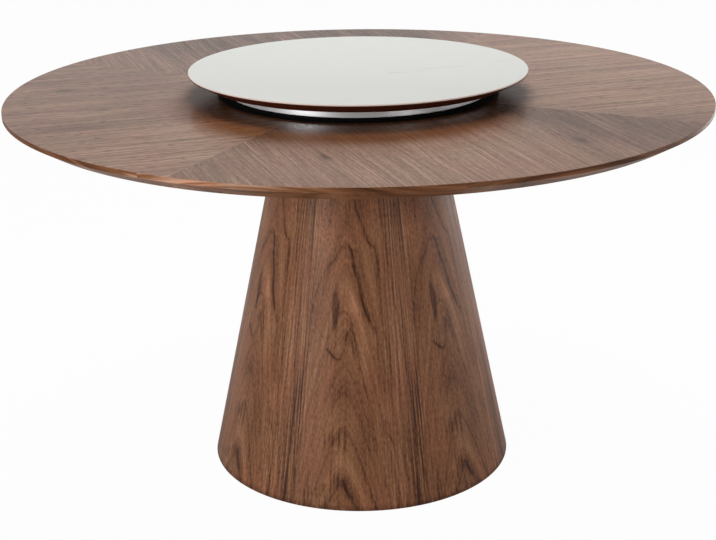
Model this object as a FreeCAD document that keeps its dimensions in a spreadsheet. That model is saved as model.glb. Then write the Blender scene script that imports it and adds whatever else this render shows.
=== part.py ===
# Round walnut dining table on a cone pedestal, with a ceramic-topped turntable at its centre.
# Millimetres. +Z is up, the origin is on the floor on the pedestal's axis, and -Y is the front.
import FreeCAD, Part
import os
import re
import Sketcher

# Driving dimensions. A diameter is outside, a circle is the diameter that a ring of holes lies on.
SIZES = {
    # tabletop: board core, solid lipping with an under-bevel and a tongue, veneer on both faces
    "table_height": 760,
    "top_diameter": 1356,
    "top_thickness": 28,
    "edge_land": 9,
    "bevel_inset": 33,
    "lipping_flat": 8,
    "lipping_count": 8,
    "lipping_seam": -121,
    "tongue_thickness": 8,
    "tongue_depth": 10,
    "quarter_seam": -116,
    "veneer": 0.6,
    "glue_line": 0.3,
    # pedestal: bent plywood cone on formers, clad in tapered veneer leaves
    "base_diameter": 610,
    "neck_diameter": 298,
    "shell_wall": 9,
    "leaf_count": 7,
    "leaf_seam": -116,
    "neck_board_thickness": 30,
    "former_width": 100,
    "mid_former_height": 380,
    "mid_former_thickness": 18,
    "lower_former_thickness": 25,
    "bottom_board_thickness": 16,
    # steel plate between the pedestal and the top
    "plate_diameter": 460,
    "plate_thickness": 4,
    "bolt_circle": 400,
    "bolt_count": 8,
    "bolt_diameter": 8,
    "bolt_clearance": 0.5,
    "bolt_length": 20,
    "bolt_head_diameter": 14,
    "bolt_head_height": 4.4,
    "bolt_head_dome": 2,
    "bolt_tip_chamfer": 1,
    "socket_flats": 5,
    "socket_depth": 2.6,
    "washer_diameter": 20,
    "washer_thickness": 1.6,
    "insert_diameter": 12,
    "insert_length": 16,
    "drill_spare": 1.5,
    "fit_gap": 0.1,
    "plate_screw_circle": 220,
    "plate_screw_count": 6,
    "plate_screw_length": 30,
    "bottom_screw_inset": 82,
    "bottom_screw_count": 6,
    "bottom_screw_length": 36,
    "board_screw_diameter": 5,
    "board_screw_head": 10,
    # glides under the pedestal
    "glide_height": 4.6,
    "glide_diameter": 40,
    "glide_chamfer": 1.2,
    "glide_inset": 40,
    "glide_count": 6,
    "glide_screw_recess": 1.4,
    "glide_screw_length": 14,
    "glide_screw_diameter": 3.5,
    "glide_screw_head": 7,
    # turntable: ceramic slab on a bevelled board
    "turntable_diameter": 656,
    "stone_thickness": 4,
    "stone_chamfer": 0.8,
    "board_thickness": 16,
    "board_bevel_inset": 30,
    # turntable bearing: two aluminium rings with a caged row of balls between them
    "ring_diameter": 510,
    "ring_height": 21,
    "ring_wall": 7,
    "ring_gap": 4,
    "ring_lift": 0.5,
    "ring_chamfer": 0.8,
    "flange_bore": 410,
    "flange_thickness": 4,
    "flange_gap": 2,
    "ball_diameter": 8,
    "ball_count": 36,
    "race_clearance": 0.25,
    "cage_clearance": 0.8,
    "cage_land": 1.5,
    "pocket_clearance": 0.2,
    "ring_screw_circle": 440,
    "ring_screw_count": 8,
    "ring_screw_length": 14,
    "ring_screw_diameter": 4,
    "ring_screw_head": 8,
    "driver_hole_diameter": 12,
    "base_ring_diameter": 544,
    "base_ring_height": 5,
    "base_ring_chamfer": 1,
}

# Each quarter of the top's veneer, anticlockwise from the one at the front.
QUARTERS = ("front", "right", "back", "left")

# Levels, as formulas in the names above.
UNDERSIDE = "(table_height - top_thickness)"
TONGUE_Z = "(table_height - top_thickness / 2)"
NECK_Z = f"({UNDERSIDE} - plate_thickness)"
BASE_Z = "glide_height"
BOTTOM_BOARD_Z = f"({BASE_Z} + bottom_board_thickness)"
RING_Z = "(table_height + base_ring_height)"
BOARD_Z = f"({RING_Z} + ring_height)"
STONE_Z = f"({BOARD_Z} + board_thickness)"
FLANGE_Z = f"({BOARD_Z} - flange_thickness)"
INNER_RING_TOP = f"({FLANGE_Z} - flange_gap)"
BALL_Z = f"(({RING_Z} + {INNER_RING_TOP}) / 2)"

# Radii.
RIM = "(top_diameter / 2)"
BEVEL_FOOT = f"({RIM} - bevel_inset)"
LIPPING_BACK = f"({BEVEL_FOOT} - lipping_flat)"
CORE_RADIUS = f"({LIPPING_BACK} - glue_line)"
TONGUE_END = f"({LIPPING_BACK} - tongue_depth)"
BOLT_RADIUS = "(bolt_circle / 2)"
GLIDE_RADIUS = "(base_diameter / 2 - glide_inset)"
BOTTOM_SCREW_RADIUS = "(base_diameter / 2 - bottom_screw_inset)"
OUTER_RACE_FACE = "(ring_diameter / 2 - ring_wall)"
INNER_RACE_FACE = f"({OUTER_RACE_FACE} - ring_gap)"
BALL_RADIUS = f"({OUTER_RACE_FACE} - ring_gap / 2)"


def cone(z, inwards="0"):
    """Radius of the pedestal at height z, a distance inwards of its veneered face."""
    drop = f"(({z}) - {BASE_Z}) / ({NECK_Z} - {BASE_Z})"
    return f"(base_diameter / 2 - (base_diameter - neck_diameter) / 2 * {drop} - ({inwards}))"


SHELL_FACE = "(veneer + glue_line)"
SHELL_BACK = f"({SHELL_FACE} + shell_wall)"
FORMER_RIM = f"({SHELL_BACK} + glue_line)"

doc = FreeCAD.newDocument("dining_table")
sheet = doc.addObject("Spreadsheet::Sheet", "sizes")
for row, (alias, size) in enumerate(SIZES.items(), start=1):
    sheet.set(f"A{row}", alias)
    sheet.set(f"B{row}", str(size))
    sheet.setAlias(f"B{row}", alias)
doc.recompute()
bodies = []


def tied(formula):
    """The formula with each size read from the sheet."""
    return re.sub(r"[a-z_]+", lambda word: f"sizes.{word[0]}" if word[0] in SIZES else word[0], formula)


def value(formula):
    return float(sheet.evalExpression(tied(formula)))


def sub_part(label, turned="0"):
    """A body of the document, turned about the table's axis by so many degrees."""
    body = doc.addObject("PartDesign::Body", label)
    body.Label = label
    rotation = FreeCAD.Rotation(FreeCAD.Vector(0, 0, 1), value(turned))
    body.Placement = FreeCAD.Placement(FreeCAD.Vector(), rotation)
    if turned != "0":
        body.setExpression("Placement.Rotation.Angle", tied(f"({turned}) * 1 deg"))
    bodies.append(body)
    return body


def origin_feature(body, role):
    return next(feature for feature in body.Origin.OriginFeatures if feature.Role == role)


def hold(sketch, geometry, point, kind, formula, name):
    """Holds a point of the sketch at a distance from the sketch's origin."""
    if formula == "0":
        axis = -2 if kind == "DistanceX" else -1
        sketch.addConstraint(Sketcher.Constraint("PointOnObject", geometry, point, axis))
        return
    index = sketch.addConstraint(Sketcher.Constraint(kind, -1, 1, geometry, point, value(formula)))
    sketch.renameConstraint(index, name)
    sketch.setExpression(f"Constraints.{name}", tied(formula))


def new_sketch(body, role="XZ_Plane", azimuth="0", lift="0"):
    """A sketch on one of the body's planes, swung round the vertical axis or lifted along its normal."""
    sketch = body.newObject("Sketcher::SketchObject", "profile")
    sketch.AttachmentSupport = (origin_feature(body, role), [""])
    sketch.MapMode = "FlatFace"
    if azimuth != "0":
        swing = FreeCAD.Rotation(FreeCAD.Vector(0, 1, 0), value(azimuth))
        sketch.AttachmentOffset = FreeCAD.Placement(FreeCAD.Vector(), swing)
        sketch.setExpression("AttachmentOffset.Rotation.Angle", tied(f"({azimuth}) * 1 deg"))
    if lift != "0":
        sketch.setExpression("AttachmentOffset.Base.z", tied(lift))
    return sketch


def outline(sketch, corners):
    """A closed outline through corners, each a pair of formulas."""
    points = [FreeCAD.Vector(value(x), value(y), 0) for x, y in corners]
    for start, end in zip(points, points[1:] + points[:1]):
        sketch.addGeometry(Part.LineSegment(start, end), False)
    for edge in range(len(corners)):
        sketch.addConstraint(Sketcher.Constraint("Coincident", edge, 2, (edge + 1) % len(corners), 1))
    for edge, (x, y) in enumerate(corners):
        hold(sketch, edge, 1, "DistanceX", x, f"x{edge}")
        hold(sketch, edge, 1, "DistanceY", y, f"y{edge}")


def own_axis(sketch, x=None, y=None):
    """A construction line, upright at x or level at y, for a piece that is turned about its own axis."""
    ends = [(x or end, y or end) for end in ("0", "table_height")]
    points = [FreeCAD.Vector(value(across), value(height), 0) for across, height in ends]
    line = sketch.addGeometry(Part.LineSegment(*points), True)
    for point, (across, height) in enumerate(ends, start=1):
        hold(sketch, line, point, "DistanceX", across, f"end{point}_x")
        hold(sketch, line, point, "DistanceY", height, f"end{point}_y")


def turn(body, kind, sketch, axis, angle="360"):
    """A Revolution or Groove of the sketch about one of its axes."""
    feature = body.newObject(f"PartDesign::{kind}", kind.lower())
    feature.Profile = sketch
    feature.ReferenceAxis = (sketch, [axis])
    feature.setExpression("Angle", tied(angle))
    return feature


def lathe(body, corners, angle="360"):
    """Turns an outline of radius and height about the table's axis."""
    sketch = new_sketch(body)
    outline(sketch, corners)
    return turn(body, "Revolution", sketch, "V_Axis", angle)


def spindle(body, kind, radius, corners, azimuth="0"):
    """Adds or cuts a piece turned about an upright axis at that radius, its corners measured from there."""
    sketch = new_sketch(body, azimuth=azimuth)
    outline(sketch, [(f"{radius} + {x}" if x != "0" else radius, y) for x, y in corners])
    own_axis(sketch, x=radius)
    return turn(body, kind, sketch, "Axis0")


def repeat(body, features, count):
    """Repeats features evenly round the table's axis."""
    pattern = body.newObject("PartDesign::PolarPattern", "round_the_axis")
    pattern.Originals = features
    pattern.Axis = (origin_feature(body, "Z_Axis"), [""])
    pattern.Angle = 360
    pattern.setExpression("Occurrences", tied(count))
    body.Tip = pattern


def raceway(body):
    """Cuts the balls' groove into a ring."""
    sketch = new_sketch(body)
    radius = "ball_diameter / 2 + race_clearance"
    centre = FreeCAD.Vector(value(BALL_RADIUS), value(BALL_Z), 0)
    sketch.addGeometry(Part.Circle(centre, FreeCAD.Vector(0, 0, 1), value(radius)), False)
    hold(sketch, 0, 3, "DistanceX", BALL_RADIUS, "pitch_radius")
    hold(sketch, 0, 3, "DistanceY", BALL_Z, "pitch_height")
    index = sketch.addConstraint(Sketcher.Constraint("Radius", 0, value(radius)))
    sketch.renameConstraint(index, "race_radius")
    sketch.setExpression("Constraints.race_radius", tied(radius))
    turn(body, "Groove", sketch, "V_Axis")


def screw_corners(face, length, shank, head, up=True):
    """A countersunk wood screw whose head is flush with a face, pointing up or down from it."""
    sign = "+" if up else "-"
    slope = f"({head} - {shank}) / 2"
    return [
        ("0", face),
        (f"{head} / 2", face),
        (f"{shank} / 2", f"{face} {sign} {slope}"),
        (f"{shank} / 2", f"{face} {sign} ({length} - {shank})"),
        ("0", f"{face} {sign} {length}"),
    ]


def screw_hole_corners(face, length, shank, head, up=True, mouth=None):
    """The hole for such a screw, a fit gap larger all round. It may start at a mouth below the seat."""
    sign, back = ("+", "-") if up else ("-", "+")
    slope = f"({head} - {shank}) / 2"
    wide = f"({head} / 2 + 2 * fit_gap)"
    start = f"{face} {back} fit_gap"
    corners = [
        ("0", mouth or start),
        (wide, mouth or start),
        (wide, start),
        (f"({shank} / 2 + fit_gap)", f"{face} {sign} {slope}"),
        (f"({shank} / 2 + fit_gap)", f"{face} {sign} ({length} + fit_gap)"),
        ("0", f"{face} {sign} ({length} + fit_gap)"),
    ]
    return corners if mouth else corners[:1] + corners[2:]


# Each kind of screw: face of its head, length, shank, head and whether it points up.
PLATE_SCREW = (UNDERSIDE, "plate_screw_length", "board_screw_diameter", "board_screw_head", False)
BOTTOM_SCREW = (BASE_Z, "bottom_screw_length", "board_screw_diameter", "board_screw_head", True)
GLIDE_SCREW = ("glide_screw_recess", "glide_screw_length", "glide_screw_diameter", "glide_screw_head", True)
RING_SCREW = (FLANGE_Z, "ring_screw_length", "ring_screw_diameter", "ring_screw_head", True)


def screws(label, radius, screw, count):
    body = sub_part(label)
    repeat(body, [spindle(body, "Revolution", radius, screw_corners(*screw))], count)


def screw_holes(body, radius, screw, count):
    repeat(body, [spindle(body, "Groove", radius, screw_hole_corners(*screw))], count)


def insert_holes(body):
    """Blind holes for the threaded inserts, deep enough for the bolts' tips."""
    reach = "bolt_length - plate_thickness - washer_thickness"
    depth = f"{UNDERSIDE} + max(insert_length; {reach}) + drill_spare"
    hole = "insert_diameter / 2 + fit_gap"
    corners = [("0", UNDERSIDE), (hole, UNDERSIDE), (hole, depth), ("0", depth)]
    repeat(body, [spindle(body, "Groove", BOLT_RADIUS, corners)], "bolt_count")


def slab(radius, low, high):
    return [("0", low), (radius, low), (radius, high), ("0", high)]


def tongue(root, end, half):
    """Outline, upwards, of a tongue or its slot between the lipping and the core."""
    low, high = f"{TONGUE_Z} - {half}", f"{TONGUE_Z} + {half}"
    return [(root, low), (end, low), (end, high), (root, high)]


def tabletop():
    core = sub_part("tabletop_core")
    low, high = f"{UNDERSIDE} + veneer", "table_height - veneer"
    tongue_slot = tongue(CORE_RADIUS, f"({TONGUE_END} - glue_line)", "(tongue_thickness / 2 + fit_gap)")
    lathe(core, [("0", low), (CORE_RADIUS, low), *tongue_slot, (CORE_RADIUS, high), ("0", high)])
    insert_holes(core)
    backing = sub_part("underside_veneer")
    lathe(backing, slab(CORE_RADIUS, UNDERSIDE, f"{UNDERSIDE} + veneer"))
    insert_holes(backing)
    span = f"360 / {len(QUARTERS)}"
    for number, side in enumerate(QUARTERS):
        quarter = sub_part(f"top_veneer_{side}", f"quarter_seam + {number} * {span}")
        eased = [(RIM, "table_height - veneer"), (f"{RIM} - veneer", "table_height")]
        lathe(quarter, [("0", "table_height - veneer"), *eased, ("0", "table_height")], span)
    for number in range(SIZES["lipping_count"]):
        segment = sub_part(f"edge_lipping_{number + 1}", f"lipping_seam + {number} * 360 / lipping_count")
        section = [
            (LIPPING_BACK, UNDERSIDE),
            (BEVEL_FOOT, UNDERSIDE),
            (RIM, "table_height - edge_land"),
            (RIM, "table_height - veneer"),
            (LIPPING_BACK, "table_height - veneer"),
            *reversed(tongue(LIPPING_BACK, TONGUE_END, "tongue_thickness / 2")),
        ]
        lathe(segment, section, "360 / lipping_count")


def mounting_plate():
    plate = sub_part("mounting_plate")
    lathe(plate, slab("plate_diameter / 2", NECK_Z, UNDERSIDE))
    hole = "bolt_diameter / 2 + bolt_clearance"
    corners = [("0", NECK_Z), (hole, NECK_Z), (hole, UNDERSIDE), ("0", UNDERSIDE)]
    repeat(plate, [spindle(plate, "Groove", BOLT_RADIUS, corners)], "bolt_count")
    screw_holes(plate, "(plate_screw_circle / 2)", PLATE_SCREW, "plate_screw_count")
    screws("plate_screws", "(plate_screw_circle / 2)", PLATE_SCREW, "plate_screw_count")


def plate_bolts():
    """Socket-head bolts up through washers and the plate into inserts in the tabletop."""
    seat = f"({NECK_Z} - washer_thickness)"
    bore = "(bolt_diameter / 2 + fit_gap)"
    washer = sub_part("bolt_washers")
    ring = [(bore, seat), ("washer_diameter / 2", seat), ("washer_diameter / 2", NECK_Z), (bore, NECK_Z)]
    repeat(washer, [spindle(washer, "Revolution", BOLT_RADIUS, ring)], "bolt_count")
    insert = sub_part("threaded_inserts")
    top = f"{UNDERSIDE} + insert_length"
    tube = [(bore, UNDERSIDE), ("insert_diameter / 2", UNDERSIDE), ("insert_diameter / 2", top), (bore, top)]
    repeat(insert, [spindle(insert, "Revolution", BOLT_RADIUS, tube)], "bolt_count")
    bolt = sub_part("plate_bolts")
    low = f"({seat} - bolt_head_height)"
    tip = f"({seat} + bolt_length)"
    section = [
        ("0", low),
        ("bolt_head_diameter / 2 - bolt_head_dome", low),
        ("bolt_head_diameter / 2", f"{low} + bolt_head_dome"),
        ("bolt_head_diameter / 2", seat),
        ("bolt_diameter / 2", seat),
        ("bolt_diameter / 2", f"{tip} - bolt_tip_chamfer"),
        ("bolt_diameter / 2 - bolt_tip_chamfer", tip),
        ("0", tip),
    ]
    shaft = spindle(bolt, "Revolution", BOLT_RADIUS, section)
    sketch = new_sketch(bolt, "XY_Plane", lift=low)
    corner = "socket_flats / cos(30 deg) / 2"
    turns = [30 + 60 * number for number in range(6)]
    outline(sketch, [(f"{BOLT_RADIUS} + {corner} * cos({a} deg)", f"{corner} * sin({a} deg)") for a in turns])
    socket = bolt.newObject("PartDesign::Pocket", "hex_socket")
    socket.Profile = sketch
    socket.Reversed = True
    socket.setExpression("Length", tied("socket_depth"))
    repeat(bolt, [shaft, socket], "bolt_count")


def pedestal():
    shell = sub_part("cone_shell")
    corners = [(cone(z, depth), z) for z, depth in
               ((BASE_Z, SHELL_BACK), (BASE_Z, SHELL_FACE), (NECK_Z, SHELL_FACE), (NECK_Z, SHELL_BACK))]
    lathe(shell, corners)
    for number in range(SIZES["leaf_count"]):
        leaf = sub_part(f"cone_veneer_{number + 1}", f"leaf_seam + {number} * 360 / leaf_count")
        corners = [(cone(z, depth), z) for z, depth in
                   ((BASE_Z, "veneer"), (BASE_Z, "0"), (NECK_Z, "0"), (NECK_Z, "veneer"))]
        lathe(leaf, corners, "360 / leaf_count")
    neck = sub_part("neck_board")
    low = f"({NECK_Z} - neck_board_thickness)"
    lathe(neck, conical_slab(low, NECK_Z))
    screw_holes(neck, "(plate_screw_circle / 2)", PLATE_SCREW, "plate_screw_count")
    former("mid_former", "mid_former_height", "mid_former_thickness")
    lower = former("lower_former", BOTTOM_BOARD_Z, "lower_former_thickness")
    screw_holes(lower, BOTTOM_SCREW_RADIUS, BOTTOM_SCREW, "bottom_screw_count")
    bottom = sub_part("bottom_board")
    lathe(bottom, conical_slab(BASE_Z, BOTTOM_BOARD_Z))
    screw_holes(bottom, BOTTOM_SCREW_RADIUS, BOTTOM_SCREW, "bottom_screw_count")
    screw_holes(bottom, GLIDE_RADIUS, GLIDE_SCREW, "glide_count")
    screws("bottom_board_screws", BOTTOM_SCREW_RADIUS, BOTTOM_SCREW, "bottom_screw_count")


def conical_slab(low, high, bore="0"):
    """A disc or ring between two heights that fits inside the cone's shell."""
    return [(bore, low), (cone(low, FORMER_RIM), low), (cone(high, FORMER_RIM), high), (bore, high)]


def former(label, low, thickness):
    """A ring inside the cone that holds its shell round."""
    body = sub_part(label)
    bore = f"({cone(low, FORMER_RIM)} - former_width)"
    lathe(body, conical_slab(low, f"({low} + {thickness})", bore))
    return body


def glides():
    glide = sub_part("floor_glides")
    section = [
        ("0", "0"),
        ("glide_diameter / 2 - glide_chamfer", "0"),
        ("glide_diameter / 2", "glide_chamfer"),
        ("glide_diameter / 2", BASE_Z),
        ("0", BASE_Z),
    ]
    pad = spindle(glide, "Revolution", GLIDE_RADIUS, section)
    hole = spindle(glide, "Groove", GLIDE_RADIUS, screw_hole_corners(*GLIDE_SCREW, mouth="0"))
    repeat(glide, [pad, hole], "glide_count")
    screws("glide_screws", GLIDE_RADIUS, GLIDE_SCREW, "glide_count")


def bearing():
    """The outer ring turns and carries the board. The inner ring is fixed and bonded to a rubber one."""
    flange = "(flange_bore / 2)"
    outside = "(ring_diameter / 2)"
    low = f"({RING_Z} + ring_lift)"
    turning = sub_part("turning_ring")
    lathe(turning, [
        (flange, FLANGE_Z),
        (OUTER_RACE_FACE, FLANGE_Z),
        (OUTER_RACE_FACE, low),
        (f"{outside} - ring_chamfer", low),
        (outside, f"{low} + ring_chamfer"),
        (outside, f"{BOARD_Z} - ring_chamfer"),
        (f"{outside} - ring_chamfer", BOARD_Z),
        (flange, BOARD_Z),
    ])
    raceway(turning)
    screw_holes(turning, "(ring_screw_circle / 2)", RING_SCREW, "ring_screw_count")
    fixed = sub_part("fixed_ring")
    step = f"({RING_Z} + flange_thickness)"
    lathe(fixed, [
        (flange, RING_Z),
        (INNER_RACE_FACE, RING_Z),
        (INNER_RACE_FACE, INNER_RING_TOP),
        (f"{INNER_RACE_FACE} - ring_wall", INNER_RING_TOP),
        (f"{INNER_RACE_FACE} - ring_wall", step),
        (flange, step),
    ])
    raceway(fixed)
    hole = "driver_hole_diameter / 2"
    driver = [("0", RING_Z), (hole, RING_Z), (hole, step), ("0", step)]
    spindle(fixed, "Groove", "(ring_screw_circle / 2)", driver)
    base = sub_part("base_ring")
    edge = "(base_ring_diameter / 2)"
    lathe(base, [
        (flange, "table_height"),
        (edge, "table_height"),
        (edge, f"{RING_Z} - base_ring_chamfer"),
        (f"{edge} - base_ring_chamfer", RING_Z),
        (flange, RING_Z),
    ])
    driver = [("0", "table_height"), (hole, "table_height"), (hole, RING_Z), ("0", RING_Z)]
    spindle(base, "Groove", "(ring_screw_circle / 2)", driver)
    screws("ring_screws", "(ring_screw_circle / 2)", RING_SCREW, "ring_screw_count")
    balls_and_cage()


def balls_and_cage():
    cage = sub_part("ball_cage")
    inner = f"({INNER_RACE_FACE} + cage_clearance)"
    outer = f"({OUTER_RACE_FACE} - cage_clearance)"
    half = "(ball_diameter / 2 + pocket_clearance + cage_land)"
    low, high = f"{BALL_Z} - {half}", f"{BALL_Z} + {half}"
    lathe(cage, [(inner, low), (outer, low), (outer, high), (inner, high)])
    sketch = new_sketch(cage)
    edge = f"{BALL_Z} + ball_diameter / 2 + pocket_clearance"
    pocket = [(INNER_RACE_FACE, BALL_Z), (OUTER_RACE_FACE, BALL_Z)]
    outline(sketch, pocket + [(radius, edge) for radius in (OUTER_RACE_FACE, INNER_RACE_FACE)])
    own_axis(sketch, y=BALL_Z)
    repeat(cage, [turn(cage, "Groove", sketch, "Axis0")], "ball_count")
    balls = sub_part("bearing_balls")
    sketch = new_sketch(balls)
    centre = FreeCAD.Vector(value(BALL_RADIUS), value(BALL_Z), 0)
    radius = value("ball_diameter / 2")
    top, bottom = centre + FreeCAD.Vector(0, radius, 0), centre - FreeCAD.Vector(0, radius, 0)
    right = centre + FreeCAD.Vector(radius, 0, 0)
    sketch.addGeometry(Part.ArcOfCircle(bottom, right, top), False)
    sketch.addGeometry(Part.LineSegment(top, bottom), False)
    hold(sketch, 0, 3, "DistanceX", BALL_RADIUS, "pitch_radius")
    hold(sketch, 0, 3, "DistanceY", BALL_Z, "pitch_height")
    sketch.addConstraint(Sketcher.Constraint("Coincident", 0, 2, 1, 1))
    sketch.addConstraint(Sketcher.Constraint("Coincident", 0, 1, 1, 2))
    sketch.addConstraint(Sketcher.Constraint("Vertical", 1))
    sketch.addConstraint(Sketcher.Constraint("PointOnObject", 0, 3, 1))
    index = sketch.addConstraint(Sketcher.Constraint("Diameter", 0, value("ball_diameter")))
    sketch.renameConstraint(index, "ball")
    sketch.setExpression("Constraints.ball", tied("ball_diameter"))
    repeat(balls, [turn(balls, "Revolution", sketch, "Edge2")], "ball_count")


def turntable():
    rim = "(turntable_diameter / 2)"
    foot = f"({rim} - board_bevel_inset)"
    skin = "(veneer * sqrt(1 + pow(board_bevel_inset / board_thickness; 2)))"
    stone = sub_part("turntable_stone")
    high = f"({STONE_Z} + stone_thickness)"
    lathe(stone, [
        ("0", STONE_Z),
        (rim, STONE_Z),
        (rim, f"{high} - stone_chamfer"),
        (f"{rim} - stone_chamfer", high),
        ("0", high),
    ])
    board = sub_part("turntable_board")
    inwards = f"({skin} + glue_line)"
    slope = [(f"{foot} - {inwards}", BOARD_Z), (f"{rim} - {inwards}", STONE_Z)]
    lathe(board, [("0", BOARD_Z), *slope, ("0", STONE_Z)])
    screw_holes(board, "(ring_screw_circle / 2)", RING_SCREW, "ring_screw_count")
    bevel = sub_part("turntable_bevel_veneer")
    back = [(f"{rim} - {skin}", STONE_Z), (f"{foot} - {skin}", BOARD_Z)]
    lathe(bevel, [(foot, BOARD_Z), (rim, STONE_Z), *back])


tabletop()
mounting_plate()
plate_bolts()
pedestal()
glides()
bearing()
turntable()
doc.recompute()

for item in doc.Objects:
    if {"Invalid", "Error"} & set(item.State):
        raise RuntimeError(f"{item.Label} failed: {item.State}")
for body in bodies:
    if body.Shape.isNull() or not body.Shape.isValid():
        raise RuntimeError(f"{body.Label} has no valid shape")
os.makedirs("parts", exist_ok=True)
for body in bodies:
    body.Shape.exportStep(f"parts/{body.Label}.step")
print(f"{len(bodies)} sub-parts, {sum(len(body.Shape.Solids) for body in bodies)} solids")
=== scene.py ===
import bpy
import math
from mathutils import Matrix, Vector


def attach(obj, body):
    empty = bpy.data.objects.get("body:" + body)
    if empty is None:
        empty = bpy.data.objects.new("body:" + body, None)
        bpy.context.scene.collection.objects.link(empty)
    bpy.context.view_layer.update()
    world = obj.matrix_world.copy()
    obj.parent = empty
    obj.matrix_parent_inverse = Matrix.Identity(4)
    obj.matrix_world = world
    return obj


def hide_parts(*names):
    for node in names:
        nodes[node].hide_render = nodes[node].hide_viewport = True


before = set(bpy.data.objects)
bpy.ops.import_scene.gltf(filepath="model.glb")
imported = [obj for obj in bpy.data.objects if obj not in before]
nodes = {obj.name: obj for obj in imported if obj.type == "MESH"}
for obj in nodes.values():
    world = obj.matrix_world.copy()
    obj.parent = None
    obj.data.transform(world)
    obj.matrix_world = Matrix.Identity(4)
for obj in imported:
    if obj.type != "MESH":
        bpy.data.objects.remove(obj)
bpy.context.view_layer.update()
print("frame loaded:", len(nodes), "nodes")


class Feed:  # one socket of a finish, so that shader maths reads as arithmetic
    def __init__(self, finish, socket):
        self.finish = finish
        self.socket = socket

    def maths(self, operation, *rest):
        values = dict(enumerate((self, *rest)))
        return self.finish.add("ShaderNodeMath", {"operation": operation}, values)

    def flipped(self, operation, first):
        return self.finish.add("ShaderNodeMath", {"operation": operation}, {0: first, 1: self})

    def __add__(self, other):
        return self.maths("ADD", other)

    def __sub__(self, other):
        return self.maths("SUBTRACT", other)

    def __mul__(self, other):
        return self.maths("MULTIPLY", other)

    def __truediv__(self, other):
        return self.maths("DIVIDE", other)

    def __pow__(self, other):
        return self.maths("POWER", other)

    def __neg__(self):
        return self.maths("MULTIPLY", -1)

    def __radd__(self, other):
        return self.maths("ADD", other)

    def __rmul__(self, other):
        return self.maths("MULTIPLY", other)

    def __rsub__(self, other):
        return self.flipped("SUBTRACT", other)

    def __rtruediv__(self, other):
        return self.flipped("DIVIDE", other)


class Finish:  # a material, or another node tree, whose nodes all come from add()
    def __init__(self, name, tree=None):
        if tree is None:
            self.material = bpy.data.materials.new(name)
            self.material.use_nodes = True
            tree = self.material.node_tree
        self.tree = tree
        self.tree.nodes.clear()

    def add(self, kind, settings, values, out=0):
        node = self.tree.nodes.new(kind)
        for name, value in settings.items():
            if name == "stops":
                self.setStops(node.color_ramp, value)
            elif name == "knots":
                self.setKnots(node.mapping, value)
            else:
                setattr(node, name, value)
        for name, value in values.items():
            if isinstance(value, (Feed, list)):
                for feed in value if isinstance(value, list) else [value]:
                    self.tree.links.new(feed.socket, node.inputs[name])
            else:
                node.inputs[name].default_value = value
        if node.outputs:
            return Feed(self, node.outputs[out])

    def setStops(self, ramp, stops):
        while len(ramp.elements) < len(stops):
            ramp.elements.new(1)
        for element, (position, colour) in zip(ramp.elements, stops):
            element.position = position
            element.color = colour

    def setKnots(self, mapping, knots):
        mapping.extend = "HORIZONTAL"
        points = mapping.curves[0].points
        while len(points) < len(knots):
            points.new(1, 1)
        for point, knot in zip(points, knots):
            point.location = knot
        mapping.update()

    def place(self, source="Object"):  # x, y and z on the object, in metres
        spot = self.add("ShaderNodeTexCoord", {}, {}, out=source)
        return [self.add("ShaderNodeSeparateXYZ", {}, {0: spot}, out=axis) for axis in range(3)]

    def spot(self, x, y, z=0):
        return self.add("ShaderNodeCombineXYZ", {}, {0: x, 1: y, 2: z})

    def noise(self, x, y, z=0, detail=2, rough=0.5):  # cloud noise, 0 to 1, on scaled coordinates
        values = {"Vector": self.spot(x, y, z), "Scale": 1, "Detail": detail, "Roughness": rough}
        return self.add("ShaderNodeTexNoise", {"noise_dimensions": "3D"}, values)

    def lines(self, across, detail=2, rough=0.5):  # noise in one direction, for growth rings
        values = {"W": across, "Scale": 1, "Detail": detail, "Roughness": rough}
        return self.add("ShaderNodeTexNoise", {"noise_dimensions": "1D"}, values)

    def chance(self, number):  # a fixed random value for each whole number
        return self.add("ShaderNodeTexWhiteNoise", {"noise_dimensions": "1D"}, {"W": number})

    def soft(self, value, low, high):  # eases from 0 at low to 1 at high
        settings = {"interpolation_type": "SMOOTHSTEP"}
        values = {"Value": value, "From Min": low, "From Max": high, "To Min": 0, "To Max": 1}
        return self.add("ShaderNodeMapRange", settings, values)

    def near(self, value, centre, width):  # 1 on a line, 0 beyond its half width
        return 1 - self.soft((value - centre).maths("ABSOLUTE"), 0, width)

    def eye(self, dx, dy, wide, tall):  # a round hump that fades out at wide and tall
        squares = (dx / wide) ** 2 + (dy / tall) ** 2
        return (-squares).maths("EXPONENT")

    def ramp(self, value, stops):
        return self.add("ShaderNodeValToRGB", {"stops": stops}, {0: value})

    def drawn(self, value, knots):  # a smooth curve drawn through knots, 0 to 1 both ways
        return self.add("ShaderNodeFloatCurve", {"knots": knots}, {"Factor": 1, "Value": value})

    def blend(self, share, first, second, mode="MIX"):
        settings = {"data_type": "RGBA", "blend_type": mode, "clamp_factor": True}
        return self.add("ShaderNodeMix", settings, {0: share, 6: first, 7: second}, out=2)

    def bump(self, height, depth):
        return self.add("ShaderNodeBump", {}, {"Strength": 1, "Distance": depth, "Height": height})

    def surface(self, **sockets):
        names = {name.replace("_", " "): value for name, value in sockets.items()}
        shader = self.add("ShaderNodeBsdfPrincipled", {}, names)
        self.add("ShaderNodeOutputMaterial", {}, {"Surface": shader})
        return self.material


def shade(red, green, blue):  # a colour picked on screen, as the shader wants it
    parts = [channel / 255 for channel in (red, green, blue)]
    linear = [c / 12.92 if c < 0.04045 else ((c + 0.055) / 1.055) ** 2.4 for c in parts]
    return (*linear, 1)


def shades(*colours):
    return [shade(*colour) for colour in colours]


def dress(material, *names):  # gives CAD nodes a finish
    for name in names:
        nodes[name].material_slots[0].material = material


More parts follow.
